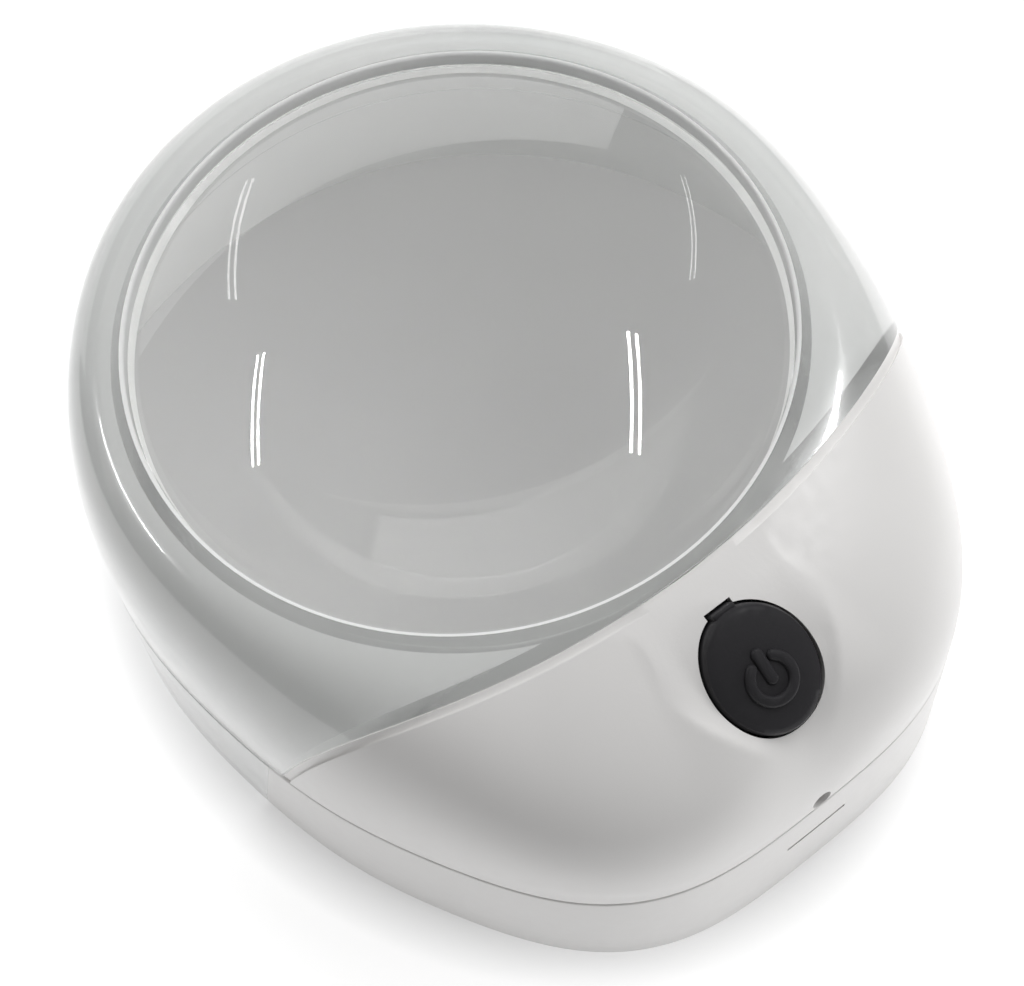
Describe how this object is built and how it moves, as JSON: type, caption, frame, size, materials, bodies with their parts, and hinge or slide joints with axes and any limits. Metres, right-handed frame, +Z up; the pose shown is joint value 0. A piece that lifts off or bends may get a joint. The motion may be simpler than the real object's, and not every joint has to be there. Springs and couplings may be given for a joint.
{
  "type": "low vision magnifier",
  "caption": "Illuminated stand magnifier: domed lens in a clear ring that rests on the page, with a white battery tail and a rubber push button.",
  "frame": {"origin": "middle of the footprint on the rest plane, 7.2 mm behind the lens axis", "axes": "+X to the right when the tail points at the user, +Y from the tail towards the head, +Z up along the lens axis"},
  "size_m": [0.0912, 0.1076, 0.0484],
  "materials": {
    "clear_ring": "clear acrylic moulding, polished outside, light satin inside",
    "lens_acrylic": "polished optical acrylic",
    "white_housing": "smooth white ABS, satin gloss",
    "black_rubber": "matte moulded silicone rubber",
    "switch_black": "black moulded nylon",
    "switch_steel": "pressed steel",
    "circuit_board": "green solder mask",
    "chip_black": "epoxy package",
    "capacitor_body": "ceramic body with tinned ends",
    "led_white": "white package with phosphor window",
    "cell_jacket": "plain printed jacket over steel can",
    "contact_nickel": "nickel-plated spring steel",
    "screw_steel": "zinc-plated steel",
    "cable_red": "red PVC",
    "cable_black": "black PVC"
  },
  "bodies": {
    "housing": {"upper_ring": "clear_ring", "lower_ring": "clear_ring", "lens": "lens_acrylic", "top_cover": "white_housing", "base_cover": "white_housing", "switch_body": "switch_black", "main_board": "circuit_board", "board_screw_left": "screw_steel", "board_screw_right": "screw_steel", "driver_chip": "chip_black", "boost_inductor": "chip_black", "capacitor_left": "capacitor_body", "capacitor_right": "capacitor_body", "led_board": "circuit_board", "led_left": "led_white", "led_right": "led_white", "battery_cradle": "switch_black", "cell_lower": "cell_jacket", "cell_upper": "cell_jacket", "link_plate": "contact_nickel", "positive_plate": "contact_nickel", "negative_plate": "contact_nickel", "spring_lower": "contact_nickel", "spring_upper": "contact_nickel", "screw_front_left": "screw_steel", "screw_front_right": "screw_steel", "screw_rear_left": "screw_steel", "screw_rear_right": "screw_steel", "battery_cable_red": "cable_red", "battery_cable_black": "cable_black", "led_cable_red": "cable_red", "led_cable_black": "cable_black"},
    "button": {"power_button": "black_rubber"},
    "plunger": {"switch_plunger": "switch_steel"},
    "door": {"battery_door": "white_housing"}
  },
  "joints": [
    {"name": "button_press", "type": "slide", "parent": "housing", "child": "button", "axis": [0, 0.5138, -0.8579], "range_m": [0, 0.0008], "stiffness_N_per_m": 800},
    {"name": "plunger_press", "type": "slide", "parent": "housing", "child": "plunger", "axis": [0, 0.5138, -0.8579], "range_m": [0, 0.0008], "stiffness_N_per_m": 300},
    {"name": "door_pull", "type": "slide", "parent": "housing", "child": "door", "axis": [0, 0, -1], "range_m": [0, 0.014]}
  ],
  "couplings": [
    {"joint": "plunger_press", "follows": "button_press", "ratio": 1}
  ]
}
